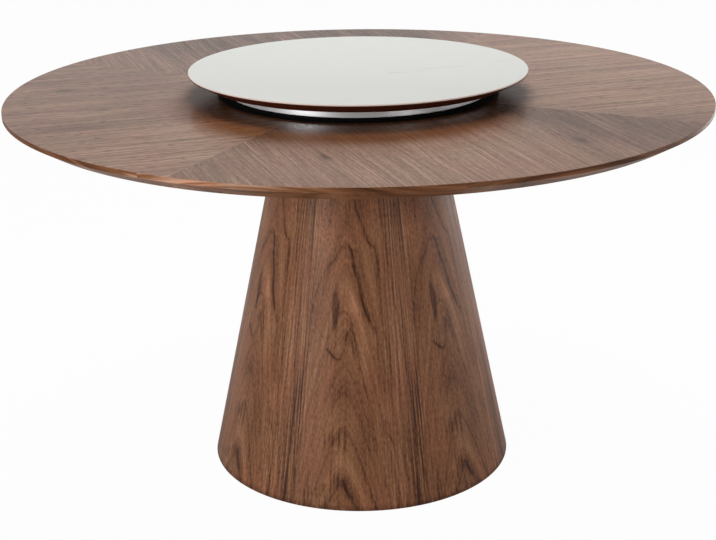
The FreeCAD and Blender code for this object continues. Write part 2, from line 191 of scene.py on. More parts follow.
walnut = {  # five tones from late wood to pale early wood, their pores, and the polish of a glossy spot
    "tones": (0.05, 0.3, 0.52, 0.7, 0.98),
    "pore": shade(50, 30, 22),
    "poreShare": 0.45,
    "poreDepth": 0.00012,
    "fibre": 0.2,  # how far fibres and clouds shift the tone
    "cloud": 0.2,
    "blushShare": 0.5,
    "polishRoughness": 0.26,
    "polishGloss": 1.5,
}


def walnutSurface(finish, tone, along, across, look, paintedShadow=None, polish=0):
    # colour, sheen and pores of lacquered walnut
    fine = finish.noise(across * 900, along * 26, detail=3, rough=0.6)
    pores = finish.soft(finish.noise(across * 1600, along * 45, 3, detail=2), 0.60, 0.72)
    cloud = finish.noise(across * 9, along * 4, 7, detail=3)
    tone = tone + (fine - 0.5) * walnut["fibre"] + (cloud - 0.5) * walnut["cloud"]
    colour = finish.ramp(tone, list(zip(walnut["tones"], look["palette"])))
    blush = finish.soft(finish.noise(across * 13, along * 9, 21, detail=2), 0.42, 0.62)
    # redder and olive areas
    colour = finish.blend(blush * walnut["blushShare"], colour, look["blush"], "COLOR")
    # painted shadow: where the share is given, the colour is multiplied by a dark tint
    if paintedShadow:
        colour = finish.blend(paintedShadow, colour, look["paintedShadow"], "MULTIPLY")
    colour = finish.blend(pores * walnut["poreShare"], colour, walnut["pore"])
    roughness = look["lacquer"] + (fine - 0.5) * 0.1 + pores * 0.1
    normal = finish.bump(fine * 0.3 - pores, walnut["poreDepth"])
    return finish.surface(Base_Color=colour, Roughness=roughness, Normal=normal, IOR=look["gloss"],
                          Coat_Weight=polish, Coat_Roughness=walnut["polishRoughness"],
                          Coat_IOR=walnut["polishGloss"])


cone = {
    "palette": shades((58, 33, 23), (90, 56, 37), (122, 82, 56), (140, 97, 69), (170, 126, 96)),
    "blush": shade(146, 92, 66),
    "lacquer": 0.42,
    "gloss": 1.22,
    "leaves": 7,
    "seam": math.radians(-116),
    "top": 0.728,
    "height": 0.7234,
    "axis": 0.36,  # middle of the cathedral figure, as a share of the leaf's width
    "plain": 0.56,  # tone of plain wood, and how strong the rest of the figure is
    "broad": 0.55,
    "fine": 0.22,
    "grain": 0.75,
    "fibres": (1.25, 0.45),  # extra beside the seams, and everywhere
    "straight": (0.62, 0.82, 0.1),  # straight grain: from and to by the last seam, and to by the first
    # dark growth lines that run down a leaf: depth, half width, then (drop, width) knots
    "runs": (
        (0.22, 0.0028, (0.336, 0.27), (0.353, 0.209), (0.386, 0.121), (0.418, 0.083),
         (0.488, 0.033), (0.56, 0.008)),
        (0.30, 0.0040, (0.312, 0.412), (0.353, 0.436), (0.402, 0.488), (0.467, 0.54),
         (0.51, 0.606), (0.55, 0.65)),
        (0.15, 0.0026, (0.51, 0.606), (0.537, 0.65), (0.6, 0.66), (0.672, 0.695), (0.72, 0.715)),
        (0.25, 0.0028, (0.10, 0.40), (0.196, 0.447), (0.25, 0.529), (0.30, 0.60),
         (0.312, 0.655), (0.34, 0.685), (0.38, 0.69)),
        (0.15, 0.0022, (0.34, 0.685), (0.407, 0.695), (0.488, 0.70), (0.613, 0.761), (0.72, 0.79)),
        (0.22, 0.0024, (0.474, 0.36), (0.483, 0.385), (0.5, 0.42), (0.543, 0.447),
         (0.613, 0.496), (0.71, 0.562)),
        (0.12, 0.0022, (0.66, 0.528), (0.71, 0.562), (0.80, 0.61), (0.88, 0.65)),
        (0.30, 0.0024, (0.522, 0.388), (0.543, 0.375), (0.57, 0.364), (0.597, 0.338), (0.61, 0.33)),
        (0.18, 0.0022, (0.516, 0.400), (0.537, 0.419), (0.564, 0.43), (0.63, 0.455)),
        (0.20, 0.0026, (0.76, 0.70), (0.786, 0.706), (0.827, 0.75), (0.86, 0.765)),
        (0.34, 0.0034, (0.91, 0.36), (0.938, 0.386), (0.959, 0.408), (1.0, 0.47)),
        (0.26, 0.0034, (0.93, 0.225), (0.96, 0.205), (1.0, 0.17)),
    ),
    # and those that run over it: depth, half height, then (width, drop) knots
    "crests": (
        (0.30, 0.0036, (0.245, 0.345), (0.287, 0.318), (0.325, 0.307), (0.364, 0.313),
         (0.397, 0.308), (0.43, 0.33)),
        (0.28, 0.0030, (0.19, 0.574), (0.243, 0.589), (0.276, 0.597), (0.309, 0.60), (0.345, 0.592)),
        (0.14, 0.0030, (0.30, 0.484), (0.34, 0.476), (0.38, 0.481), (0.42, 0.50)),
    ),
    # soft patches: width, drop, their half sizes, how they lean, and how much lighter they are
    "patches": (
        (0.525, 0.442, 0.030, 0.05, 0.9, -0.20),
        (0.42, 0.46, 0.085, 0.035, 0.4, 0.22),
        (0.515, 0.58, 0.045, 0.10, 0.5, 0.17),
        (0.60, 0.50, 0.08, 0.10, 0.3, 0.08),
        (0.33, 0.69, 0.15, 0.05, 0.0, -0.15),
        (0.53, 0.80, 0.07, 0.09, 0.3, -0.16),
        (0.09, 0.285, 0.15, 0.06, 0.0, 0.16),
        (0.07, 0.62, 0.05, 0.12, 0.0, 0.05),
        (0.60, 0.27, 0.06, 0.05, 0.3, 0.05),
        (0.88, 0.22, 0.07, 0.05, 0.0, -0.08),
    ),
    # short dark dashes: width, drop and half length
    "dashes": (
        (0.215, 0.822, 0.030), (0.253, 0.812, 0.020), (0.278, 0.81, 0.022), (0.325, 0.812, 0.022),
        (0.372, 0.825, 0.042), (0.272, 0.90, 0.03), (0.30, 0.915, 0.026), (0.328, 0.925, 0.018),
        (0.075, 0.972, 0.03), (0.102, 0.965, 0.035),
    ),
    "dashReach": 0.0022,
    "dashDepth": 0.3,
    "knot": (0.268, 0.476),
    "knotSize": (0.008, 0.06, 0.062),  # half width, its taper and half length
    "knotDepth": 0.4,
    "neckShade": (0.17, 0.29),  # painted shade under the top: full down to the first drop, gone by the second
    "neckDepth": 0.15,
}


def growthLine(finish, gap, reach):  # a dark line with softer shade beside it
    return (1 - finish.soft(gap, 0, reach * 1.3)) * 0.8 + (1 - finish.soft(gap, 0, reach * 5)) * 0.4


def coneVeneer():
    finish = Finish("walnutConeVeneer")
    x, y, z = finish.place()
    step = 2 * math.pi / cone["leaves"]
    turns = (y.maths("ARCTAN2", x) - cone["seam"]) / step
    leaf = turns.maths("FLOOR")
    leafWidth = (x * x + y * y).maths("SQRT") * step
    width = turns.maths("FRACT")  # 0 at a leaf's left seam, 1 at its right
    across = (width - 0.5) * leafWidth
    drop = (cone["top"] - z) / cone["height"]  # 0 at the neck, 1 at the foot
    down = drop * cone["height"]
    variety = leaf * 0.13
    sway = finish.noise(across * 14, down * 10, variety, detail=1) - 0.5
    shiver = finish.noise(across * 90, down * 60, variety + 8, detail=2) - 0.5
    swayed = width + sway * 0.02 + shiver * 0.008
    dropped = drop + sway * 0.012 + shiver * 0.006
    uneven = finish.soft(finish.noise(across * 60, down * 24, variety + 12, detail=3), 0.3, 0.7)
    side = swayed - cone["axis"]
    flank = (side * side + 0.004).maths("SQRT")
    ring = dropped - flank * 0.9 - (flank ** 3) * 2.5
    broad = finish.lines(ring * 13 + 3.1, detail=3)
    fine = finish.lines(ring * 60, detail=2)
    tone = cone["plain"] + (broad - 0.5) * cone["broad"] + (fine - 0.5) * cone["fine"]
    for depth, reach, *knots in cone["runs"]:
        gap = ((swayed - finish.drawn(drop, knots)) * leafWidth).maths("ABSOLUTE")
        ends = finish.soft(drop, knots[0][0] - 0.004, knots[0][0] + 0.008)
        ends = ends * (1 - finish.soft(drop, knots[-1][0] - 0.06, knots[-1][0]))
        tone = tone - growthLine(finish, gap, reach) * ends * (uneven + 0.5) * depth
    for depth, reach, *knots in cone["crests"]:
        gap = ((dropped - finish.drawn(width, knots)) * cone["height"]).maths("ABSOLUTE")
        ends = finish.soft(width, knots[0][0] - 0.01, knots[0][0] + 0.02)
        ends = ends * (1 - finish.soft(width, knots[-1][0] - 0.02, knots[-1][0] + 0.01))
        tone = tone - growthLine(finish, gap, reach) * ends * (uneven + 0.5) * depth
    for patchX, patchY, wide, tall, lean, lighter in cone["patches"]:
        fall = dropped - patchY
        tone = tone + finish.eye(swayed - patchX - fall * lean, fall, wide, tall) * lighter
    for dashX, dashY, half in cone["dashes"]:
        dash = finish.eye((swayed - dashX) * leafWidth, dropped - dashY, cone["dashReach"], half)
        tone = tone - dash * cone["dashDepth"]
    knotX, knotY = cone["knot"]
    knotWide, knotTaper, knotTall = cone["knotSize"]
    taper = knotWide - (drop - knotY) * knotTaper
    heart = finish.eye((swayed - knotX) * leafWidth / taper, (dropped - knotY) / knotTall, 1, 1)
    tone = tone - finish.soft(heart, 0.2, 0.8) * cone["knotDepth"]
    lastFrom, lastTo, firstTo = cone["straight"]
    straight = finish.soft(width, lastFrom, lastTo) + (1 - finish.soft(width, 0, firstTo))
    fibres = finish.noise(width * 56, down * 3, variety, detail=3, rough=0.65) - 0.5
    besideSeams, everywhere = cone["fibres"]
    tone = tone + fibres * (straight * besideSeams + everywhere)
    streak = finish.soft(finish.noise(width * 38, down * 5, variety + 9, detail=3), 0.42, 0.62)
    rim = finish.soft(width + drop * 0.25, 1.02, 1.17) * finish.soft(drop, 0.5, 0.74)
    # rim darkens streaks beside each seam; the last term is painted shade, a dark band along the foot
    # where the cone meets the floor
    tone = tone - rim * (streak * 0.45 + 0.05) - finish.soft(drop, 0.982, 0.998) * 0.2
    flames = finish.soft(finish.noise(width * 50, down * 16, variety + 15, detail=2), 0.55, 0.68)
    tone = tone - flames * finish.soft(drop, 0.84, 0.98) * 0.22
    # painted shade under the top, stronger towards +x
    neckShadow = 1 - finish.soft(drop, *cone["neckShade"])
    tone = tone - neckShadow * (x * 3 + 1) * cone["neckDepth"]
    grain = finish.noise(across * 260, down * 110, variety + 3, detail=3, rough=0.65) - 0.5
    flecks = finish.soft(finish.noise(across * 230, down * 110, variety, detail=2), 0.5, 0.65)
    flecked = finish.eye(width - 0.14, drop - 0.25, 0.12, 0.08) * flecks
    tone = tone + grain * cone["grain"] - flecked * 0.25
    return walnutSurface(finish, tone, down, across, cone)


dress(coneVeneer(), *[f"cone_veneer_{number}" for number in range(1, 8)])
print("cone veneer finished")

topVeneer = {
    # the palette is walnut greyed by a neutral haze: painted sheen for the lacquer's reflection
    "palette": shades((88, 72, 66), (118, 96, 87), (140, 111, 98), (155, 124, 108), (181, 149, 130)),
    "blush": shade(150, 126, 108),
    "paintedShadow": (0.5, 0.31, 0.18, 1),  # painted shadow: a dark tint multiplied on the wood under and before the turntable, which also takes the painted sheen out there
    "shaded": (-0.014, -0.098),  # middle of that round area, and from where to where it ends
    "shadowFade": (0.285, 0.362),
    "polished": (-0.088, -0.29, 0.055, 0.5),  # a glossy spot by the ring: x, y, reach and how much
    "plain": 0.56,
    "luck": 0.1,  # how much the strips differ in tone
    "streaks": 0.7,
    "speckle": 0.5,
    "paleLines": (0.4, 0.08),  # extra in clusters, and everywhere
    "lacquer": 0.2,
    "gloss": 1.06,
    "seam": math.radians(-116),
    "strip": 0.18,  # width of one strip of veneer
    # front, right, back and left quarters: how much lighter, then beside the first seam and the last,
    # partly the leaves' own tone and partly painted light: the front lighter and the back darker as light
    # falls, and painted sheen by the seams; and how strong their bands, fine lines and dark dashes are
    "quarters": (
        (0.09, -0.14, -0.4, 0.35, 0.3, 0.1),
        (0.06, -0.1, -0.04, 0.75, 0.4, 0.25),
        (-0.38, 0.28, 0.28, 0.6, 0.25, 0),
        (-0.1, 0, 0.24, 0.8, 0.5, 0.36),
    ),
    # dark eyes in the figure, by x and y
    "eyes": (
        (0.546, -0.008), (-0.577, 0.022), (-0.48, -0.15),
        (-0.375, -0.36), (0.372, -0.408), (-0.052, -0.505),
    ),
}


def topQuarters():
    finish = Finish("walnutTopVeneer")
    x, y = finish.place()[:2]
    turns = (y.maths("ARCTAN2", x) - topVeneer["seam"]) / (math.pi / 2)
    quarter = turns.maths("FLOOR")
    part = turns.maths("FRACT")  # from one seam of the quarter to the other
    turn = topVeneer["seam"] + math.pi / 4 + quarter * (math.pi / 2)
    cosine, sine = turn.maths("COSINE"), turn.maths("SINE")
    along = x * cosine + y * sine  # the grain runs out along the middle of each quarter
    across = y * cosine - x * sine
    strip = (across / topVeneer["strip"] + 0.37).maths("FLOOR")
    number = strip + quarter * 31
    luck = finish.chance(number)
    wave = finish.noise(along * 2.4, across * 5, number * 3.7, detail=2) - 0.5
    ripple = finish.noise(along * 9, across * 50, number * 3.7, detail=2) - 0.5
    ring = across + wave * 0.02 + ripple * 0.004 + luck * 3
    tone = topVeneer["plain"] + (luck - 0.5) * topVeneer["luck"]
    for eyeX, eyeY in topVeneer["eyes"]:
        dx, dy = x - eyeX, y - eyeY
        eyeAlong, eyeAcross = dx * cosine + dy * sine, dy * cosine - dx * sine
        ring = ring - finish.eye(eyeAlong, eyeAcross, 0.06, 0.026) * eyeAcross * 1.1
        tone = tone - finish.eye(eyeAlong - ripple * 0.03, eyeAcross + wave * 0.02, 0.02, 0.008) * 0.3
    first, last = 1 - finish.soft(part, 0.02, 0.16), finish.soft(part, 0.62, 0.94)
    bands = finish.lines(ring * 22, detail=3, rough=0.6) - 0.5
    bands = bands * 0.6 + (finish.noise(along * 6, ring * 85, number, detail=3, rough=0.6) - 0.5) * 0.9
    fineLines = finish.lines(ring * 150, detail=2, rough=0.6) - 0.5
    dashes = finish.soft(finish.noise(along * 38, across * 120, number + 11, detail=2), 0.56, 0.74)
    for index, (shift, atFirst, atLast, strong, fine, dashed) in enumerate(topVeneer["quarters"]):
        here = finish.near(quarter.maths("FLOORED_MODULO", 4), index, 0.5)
        figure = bands * strong + fineLines * fine - dashes * dashed
        # shift and the seam terms carry painted light and painted sheen as well as leaf tone
        tone = tone + here * (first * atFirst + last * atLast + figure + shift)
    flow = across + wave * 0.02 + ripple * 0.003  # fine lines wander with the figure
    streaks = finish.noise(along * 6, flow * 190, number, detail=3, rough=0.6) - 0.5
    pale = finish.soft(finish.noise(along * 2.5, flow * 330, number + 5, detail=2), 0.57, 0.7)
    cluster = finish.soft(finish.noise(along * 4, across * 10, number + 23, detail=2), 0.38, 0.62)
    speckle = finish.noise(along * 60, across * 240, number + 17, detail=2) - 0.5
    clustered, everywhere = topVeneer["paleLines"]
    tone = tone + streaks * topVeneer["streaks"] + speckle * topVeneer["speckle"]
    tone = tone + pale * (cluster * clustered + everywhere)
    # painted shadow round the turntable, centred toward the front
    dx, dy = x - topVeneer["shaded"][0], y - topVeneer["shaded"][1]
    radius = (dx * dx + dy * dy).maths("SQRT") + wave * 0.03
    paintedShadow = 1 - finish.soft(radius, *topVeneer["shadowFade"])
    shineX, shineY, reach, shine = topVeneer["polished"]
    polish = finish.eye(x - shineX, y - shineY, reach, reach) * shine
    return walnutSurface(finish, tone, along, across, topVeneer, paintedShadow, polish)


dress(topQuarters(), *[f"top_veneer_{side}" for side in ("front", "right", "back", "left")])
print("top veneer finished")

lipping = {
    # the palest tone is greyed: painted sheen on the upright edge
    "palette": shades((44, 25, 16), (76, 47, 30), (106, 69, 46), (128, 87, 60), (186, 150, 130)),
    "blush": shade(140, 88, 58),
    "lacquer": 0.36,
    "gloss": 1.12,
    "count": 8,
    # how pale the upright edge is round the table, partly the tone of its lengths and partly painted
    # light: painted sheen at the front left and painted shade at the right end; share of the turn from
    # the left, and 0.5 for plain
    "pale": (
        (0, 0.38), (0.1, 0.36), (0.155, 0.42), (0.162, 0.7), (0.19, 0.77), (0.215, 0.7),
        (0.235, 0.5), (0.26, 0.4), (0.305, 0.46), (0.36, 0.36), (0.44, 0.38), (0.5, 0.24),
        (0.56, 0.36), (0.62, 0.54), (0.75, 0.44), (0.88, 0.6), (1, 0.38),
    ),
    "seam": math.radians(-121),
    "pith": (0.60, 0.83),  # radius and height of the log's heart beside each length
    "top": 0.7594,
    "land": 0.751,  # where the upright edge meets the bevel
    "plain": 0.6,
    "luck": 0.12,  # how much the lengths differ in tone
    "bands": 0.8,
    "fineLines": 0.35,
    "arrisHighlight": 0.12,  # painted highlight: how much paler the arrises are, as rounded edges would catch light
}


def edgeLipping():
    finish = Finish("walnutLipping")
    x, y, z = finish.place()
    step = 2 * math.pi / lipping["count"]
    number = ((y.maths("ARCTAN2", x) - lipping["seam"]) / step).maths("FLOOR")
    luck = finish.chance(number + 40)
    turn = lipping["seam"] + step / 2 + number * step + (luck - 0.5) * 0.3
    cosine, sine = turn.maths("COSINE"), turn.maths("SINE")
    out = x * cosine + y * sine  # square to the grain of this length
    along = y * cosine - x * sine
    wave = finish.noise(along * 4, out * 12, z * 12 + number * 2.3, detail=2) - 0.5
    heartOut = out - lipping["pith"][0] + luck * 0.03
    heartUp = z - lipping["pith"][1] + wave * 0.01
    ring = (heartOut * heartOut + heartUp * heartUp).maths("SQRT") + wave * 0.012 + luck
    bands = finish.lines(ring * 110, detail=3, rough=0.6)
    fineLines = finish.lines(ring * 480, detail=2)
    tone = lipping["plain"] + (luck - 0.5) * lipping["luck"] + (bands - 0.5) * lipping["bands"]
    tone = tone + (fineLines - 0.5) * lipping["fineLines"]
    # paler and darker lengths round the table, with painted sheen and painted shade among them
    spread = finish.drawn(y.maths("ARCTAN2", x) / (2 * math.pi) + 0.5, lipping["pale"])
    tone = tone + (spread - 0.5) * finish.soft(z, lipping["land"] - 0.0006, lipping["land"] + 0.0004)
    # painted highlight along the top arris and the arris above the bevel
    litArrises = finish.near(z, lipping["top"], 0.0012) + finish.near(z, lipping["land"], 0.0009)
    tone = tone + litArrises * lipping["arrisHighlight"]
    return walnutSurface(finish, tone, along, ring, lipping)


dress(edgeLipping(), *[f"edge_lipping_{number}" for number in range(1, 9)])
print("lipping finished")

bevel = {  # stained darker than the table
    "palette": shades((46, 20, 11), (66, 30, 17), (88, 42, 25), (108, 56, 35), (134, 79, 54)),
    "blush": shade(84, 36, 20),
    "lacquer": 0.3,
    "gloss": 1.2,
    "radius": 0.31,
    "plain": 0.5,
    "bands": 0.6,
}


def bevelVeneer():
    finish = Finish("walnutBevelVeneer")
    x, y, z = finish.place()
    around = y.maths("ARCTAN2", x) * bevel["radius"]
    wave = finish.noise(around * 6, z * 60, detail=2) - 0.5
    ring = z + wave * 0.006
    bands = finish.lines(ring * 260, detail=3, rough=0.6)
    tone = bevel["plain"] + (bands - 0.5) * bevel["bands"]
    return walnutSurface(finish, tone, around, ring, bevel)


dress(bevelVeneer(), "turntable_bevel_veneer")

backing = {
    "palette": shades((56, 36, 27), (88, 60, 45), (116, 83, 63), (134, 98, 76), (160, 124, 100)),
    "blush": shade(134, 92, 70),
    "lacquer": 0.5,
    "gloss": 1.36,
    "strip": 0.21,
    "plain": 0.46,
    "luck": 0.12,
    "bands": 0.5,
    "fineLines": 0.35,
}


def backingVeneer():
    finish = Finish("backingVeneer")
    x, y = finish.place()[:2]
    strip = (y / backing["strip"]).maths("FLOOR")
    luck = finish.chance(strip + 90)
    wave = finish.noise(x * 2, y * 5, strip * 2.9, detail=2) - 0.5
    ring = y + wave * 0.06 + luck * 2
    bands = finish.lines(ring * 24, detail=3, rough=0.6)
    fineLines = finish.lines(ring * 130, detail=2)
    tone = backing["plain"] + (luck - 0.5) * backing["luck"] + (bands - 0.5) * backing["bands"]
    tone = tone + (fineLines - 0.5) * backing["fineLines"]
    return walnutSurface(finish, tone, x, y, backing)


dress(backingVeneer(), "underside_veneer")
print("bevel and backing veneers finished")

stone = {
    "ground": shade(213, 214, 209),
    "vein": shade(182, 182, 178),
    "cloud": shade(208, 209, 205),
    "body": shade(222, 202, 192),  # the slab's own colour, which its cut edge shows
    "bond": shade(60, 32, 20),  # and the glued backing under it
    # fine veins: from x to x, from y to y, and how grey
    "veins": ((0.058, 0.088, -0.058, -0.054, 0.6), (0.104, 0.122, -0.053, -0.048, 0.4),
              (0.112, 0.212, -0.03, 0.001, 0.4), (0.262, 0.305, 0.034, 0.05, 0.3)),
    "veinReach": 0.005,
    "faintVein": 0.12,  # how grey the faint veins are
    "edge": 0.3274,  # radius beyond which the cut edge shows
    "bondTop": 0.8036,
    "roughness": 0.44,
    "gloss": 1.1,
    "speckDepth": 0.00004,
}


def ceramicStone():
    finish = Finish("whiteCeramic")
    x, y, z = finish.place()
    bend = finish.noise(x * 4, y * 4, 2, detail=4) - 0.5
    drift = finish.noise(x * 1.6, y * 3.5, 5, detail=3) - 0.5
    path = y * 6 - x * 1.4 + bend * 1.5
    vein = finish.near(path.maths("PINGPONG", 1), 0.47, 0.05)
    patch = finish.soft(finish.noise(x * 5 + 1.3, y * 5, 8, detail=2), 0.52, 0.68)
    cloud = finish.soft(drift + 0.5, 0.45, 0.75)
    speck = finish.noise(x * 900, y * 900, z * 900, detail=2)
    colour = finish.blend(cloud * 0.5, stone["ground"], stone["cloud"])
    grey = vein * patch * stone["faintVein"]
    for left, right, low, high, depth in stone["veins"]:
        slope = (high - low) / (right - left)
        gap = y - low - (x - left) * slope + bend * 0.008
        ends = finish.soft(x, left - 0.008, left + 0.008)
        ends = ends * (1 - finish.soft(x, right - 0.01, right + 0.01))
        grey = grey + finish.near(gap, 0, stone["veinReach"]) * ends * depth
    colour = finish.blend(grey, colour, stone["vein"])
    cut = finish.soft((x * x + y * y).maths("SQRT"), stone["edge"] - 0.0006, stone["edge"])
    colour = finish.blend(cut, colour, stone["body"])
    glued = cut * (1 - finish.soft(z, stone["bondTop"] - 0.0003, stone["bondTop"] + 0.0003))
    colour = finish.blend(glued, colour, stone["bond"])
    roughness = stone["roughness"] + (speck - 0.5) * 0.1
    normal = finish.bump(speck, stone["speckDepth"])
    return finish.surface(Base_Color=colour, Roughness=roughness, Normal=normal, IOR=stone["gloss"])


dress(ceramicStone(), "turntable_stone")
print("stone finished")

ringMetal = {
    "bright": (shade(246, 246, 247), shade(224, 224, 227)),
    "dark": (shade(60, 60, 62), shade(48, 48, 50)),  # the fixed ring is made dark: painted shade for the gap under the bright ring
    "roughness": 0.36,
    "latheScale": 4000,
    "latheDepth": 0.00003,
}


def turnedAluminium(name, colours, metal):
    finish = Finish(name)
    x, y, z = finish.place()
    radius = (x * x + y * y).maths("SQRT")
    around = y.maths("ARCTAN2", x)
    scale = ringMetal["latheScale"]
    lathe = finish.noise(radius * scale, z * scale, around * 3, detail=2)  # tool marks run round the ring
    smear = finish.noise(around * 8, z * 60, radius * 20, detail=3)
    colour = finish.blend((lathe - 0.3) * 0.3, *colours)
    roughness = ringMetal["roughness"] + (lathe - 0.5) * 0.14 + (smear - 0.5) * 0.08
    normal = finish.bump(lathe, ringMetal["latheDepth"])
    return finish.surface(Base_Color=colour, Metallic=metal, Roughness=roughness, Normal=normal)


dress(turnedAluminium("brightAluminium", ringMetal["bright"], 0.6), "turning_ring")
dress(turnedAluminium("darkAluminium", ringMetal["dark"], 1), "fixed_ring")


def platedSteel(name, colour, tint, roughness, scale):  # zinc plate, and the polished balls
    finish = Finish(name)
    x, y, z = finish.place()
    patches = finish.noise(x * scale, y * scale, z * scale, detail=4)
    grains = finish.noise(x * 2600, y * 2600, z * 2600, detail=2)
    mixed = finish.blend(patches, colour, tint)
    rough = roughness + (patches - 0.5) * 0.16 + (grains - 0.5) * 0.06
    normal = finish.bump(grains, 0.00002)
    return finish.surface(Base_Color=mixed, Metallic=1, Roughness=rough, Normal=normal)


zincSteel = platedSteel("zincSteel", shade(176, 177, 178), shade(150, 152, 158), 0.36, 70)
dress(zincSteel, "bolt_washers", "threaded_inserts", "plate_bolts")
ballSteel = platedSteel("bearingSteel", shade(205, 206, 208), shade(188, 189, 192), 0.14, 40)
dress(ballSteel, "bearing_balls")


def moulded(name, colour, speckle, roughness, scale, depth, gloss=1.47):
    finish = Finish(name)  # plastic, rubber and powder coat
    x, y, z = finish.place()
    grains = finish.noise(x * scale, y * scale, z * scale, detail=3)
    smear = finish.noise(x * 30, y * 30, z * 30, detail=3)
    mixed = finish.blend(grains * 0.5 + smear * 0.4, colour, speckle)
    rough = roughness + (grains - 0.5) * 0.15 + (smear - 0.5) * 0.12
    normal = finish.bump(grains, depth)
    return finish.surface(Base_Color=mixed, Roughness=rough, Normal=normal, IOR=gloss)


# node: name, colour, speckle, roughness, scale and depth of the grain, and the rubber's gloss
mouldings = {
    "mounting_plate": ("powderCoat", shade(30, 30, 31), shade(44, 44, 46), 0.52, 900, 0.00012),
    "ball_cage": ("whiteNylon", shade(222, 221, 214), shade(208, 207, 200), 0.46, 700, 0.00003),
    "floor_glides": ("blackNylon", shade(32, 32, 33), shade(46, 46, 47), 0.5, 700, 0.00006),
    "base_ring": ("blackRubber", shade(10, 9, 9), shade(16, 15, 15), 0.85, 1400, 0.00008, 1.08),
}
for node, look in mouldings.items():
    dress(moulded(*look), node)
print("metal, nylon and rubber finished")

# sizes of each set in metres, the height of the heads, and how far the points lean from upwards
screws = {
    "bottom_board_screws": {"Count": 6, "Circle": 0.223, "Head": 0.010, "Shank": 0.005, "Length": 0.036,
                            "Face": 0.0046, "Lean": 0, "body": "table"},
    "glide_screws": {"Count": 6, "Circle": 0.265, "Head": 0.007, "Shank": 0.0035, "Length": 0.014,
                     "Face": 0.0014, "Lean": 0, "body": "table"},
    "plate_screws": {"Count": 6, "Circle": 0.110, "Head": 0.010, "Shank": 0.005, "Length": 0.030,
                     "Face": 0.732, "Lean": math.pi, "body": "table"},
    "ring_screws": {"Count": 8, "Circle": 0.220, "Head": 0.008, "Shank": 0.004, "Length": 0.014,
                    "Face": 0.782, "Lean": 0, "body": "turntable"},
}

screwShape = {
    "arm": (0.6, 0.13, 0.4),  # length, width and depth of the drive's arms, as shares of the head
    "core": 0.37,  # radii and pitch of the thread, as shares of the shank
    "helix": 0.36,
    "ridge": 0.13,
    "pitch": 0.45,
    "tip": 0.0002,
    "seed": 7,
}


def screwTree():  # a ring of countersunk screws with a cross drive and a thread
    tree = bpy.data.node_groups.new("countersunkScrews", "GeometryNodeTree")
    sizes = ("Circle", "Head", "Shank", "Length", "Face", "Lean")
    tree.interface.new_socket("Count", in_out="INPUT", socket_type="NodeSocketInt")
    for name in sizes:
        tree.interface.new_socket(name, in_out="INPUT", socket_type="NodeSocketFloat")
    tree.interface.new_socket("Geometry", in_out="OUTPUT", socket_type="NodeSocketGeometry")
    make = Finish("screws", tree)
    count = make.add("NodeGroupInput", {}, {}, out="Count")
    inputs = [make.add("NodeGroupInput", {}, {}, out=name) for name in sizes]
    circle, head, shank, length, face, lean = inputs

    def lifted(piece, height):
        values = {"Geometry": piece, "Translation": make.spot(0, 0, height)}
        return make.add("GeometryNodeTransform", {}, values)

    def taper(low, high, depth, sides):
        values = {"Vertices": sides, "Radius Top": high, "Radius Bottom": low, "Depth": depth}
        return make.add("GeometryNodeMeshCone", {}, values)

    slope = (head - shank) * 0.5
    core = shank * screwShape["core"]
    armLong, armWide, armDeep = [head * share for share in screwShape["arm"]]
    arms = [make.spot(armLong, armWide, armDeep), make.spot(armWide, armLong, armDeep)]
    drive = [make.add("GeometryNodeMeshCube", {}, {"Size": arm}) for arm in arms]
    cup = taper(head * 0.5, shank * 0.5, slope, 40)
    cut = {"operation": "DIFFERENCE", "solver": "EXACT"}
    cup = make.add("GeometryNodeMeshBoolean", cut, {"Mesh 1": cup, "Mesh 2": drive})
    stem = lifted(taper(core, core, length - slope - shank, 20), slope)
    point = lifted(taper(core, screwShape["tip"], shank, 20), length - shank)
    threaded = length - slope - shank * 1.6
    pitch = shank * screwShape["pitch"]
    wound = shank * screwShape["helix"]
    values = {"Resolution": 14, "Rotations": threaded / pitch, "Start Radius": wound,
              "End Radius": wound, "Height": threaded}
    helix = make.add("GeometryNodeCurveSpiral", {}, values)
    values = {"Resolution": 4, "Radius": shank * screwShape["ridge"]}
    ridge = make.add("GeometryNodeCurvePrimitiveCircle", {}, values)
    values = {"Curve": helix, "Profile Curve": ridge, "Fill Caps": True}
    thread = make.add("GeometryNodeCurveToMesh", {}, values)
    thread = lifted(thread, slope + shank * 0.5)
    screw = make.add("GeometryNodeJoinGeometry", {}, {"Geometry": [cup, stem, point, thread]})
    spots = make.add("GeometryNodeMeshCircle", {}, {"Vertices": count, "Radius": circle})
    values = {2: 0, 3: 2 * math.pi, "Seed": screwShape["seed"]}
    twist = make.add("FunctionNodeRandomValue", {}, values, out=1)
    turned = make.spot(lean, 0, twist)
    values = {"Points": lifted(spots, face), "Instance": screw, "Rotation": turned}
    placed = make.add("GeometryNodeInstanceOnPoints", {}, values)
    whole = make.add("GeometryNodeRealizeInstances", {}, {"Geometry": placed})
    whole = make.add("GeometryNodeSetMaterial", {}, {"Geometry": whole, "Material": zincSteel})
    make.add("NodeGroupOutput", {}, {"Geometry": whole})
    return tree


def driveScrews():
    tree = screwTree()
    items = [item for item in tree.interface.items_tree if item.in_out == "INPUT"]
    sockets = {item.name: item.identifier for item in items}
    for node, sizes in screws.items():
        piece = bpy.data.objects.new(node + "_threaded", bpy.data.meshes.new(node))
        bpy.context.scene.collection.objects.link(piece)
        recipe = piece.modifiers.new("screws", "NODES")
        recipe.node_group = tree
        for name, identifier in sockets.items():
            recipe[identifier] = sizes[name]
        ready = piece.evaluated_get(bpy.context.evaluated_depsgraph_get())
        mesh = bpy.data.meshes.new_from_object(ready)
        mesh.materials.pop(index=0)  # the tree leaves an empty slot before the zinc
        piece.modifiers.remove(recipe)
        piece.data = mesh
        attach(piece, sizes["body"])
        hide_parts(node)
        print(node, len(mesh.polygons), "faces")


